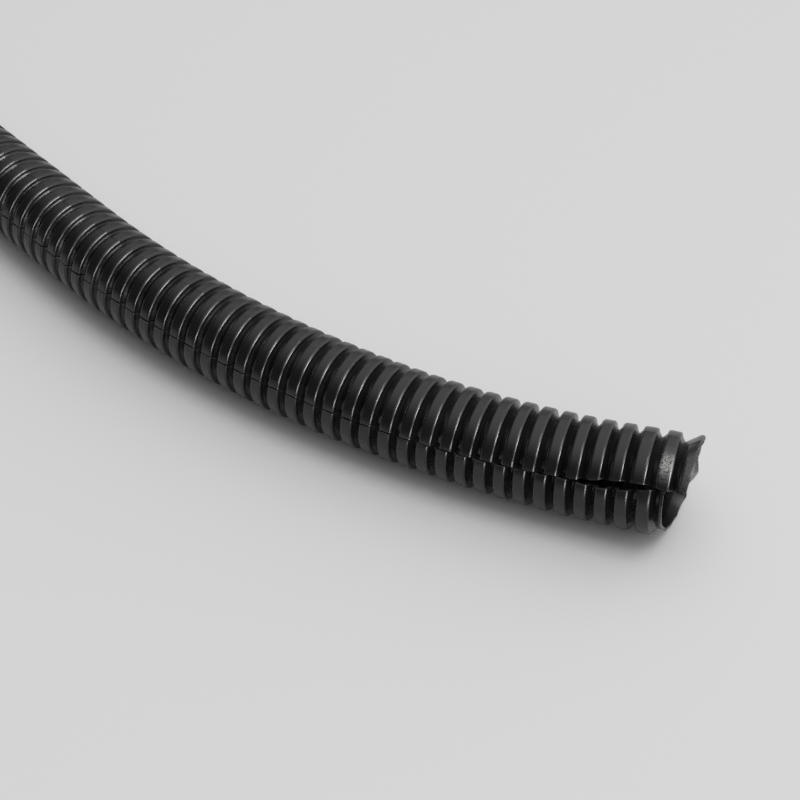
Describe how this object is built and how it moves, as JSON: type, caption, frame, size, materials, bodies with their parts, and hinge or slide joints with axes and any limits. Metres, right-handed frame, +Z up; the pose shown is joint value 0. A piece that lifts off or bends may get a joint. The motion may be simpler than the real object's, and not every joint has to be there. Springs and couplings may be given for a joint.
{
  "type": "split corrugated conduit",
  "caption": "Length of flexible black corrugated conduit, slit along one side, that gathers and covers a run of wires.",
  "frame": {"origin": "centre of the square-cut far mouth, on the tube's axis", "axes": "+X along the straight stretch towards the bend and the hand-cut end, +Z up from the floor"},
  "size_m": [0.3036, 0.0462, 0.016],
  "materials": {
    "conduit": "satin black polyethylene"
  },
  "bodies": {
    "root": {"conduit": "conduit"}
  },
  "joints": []
}
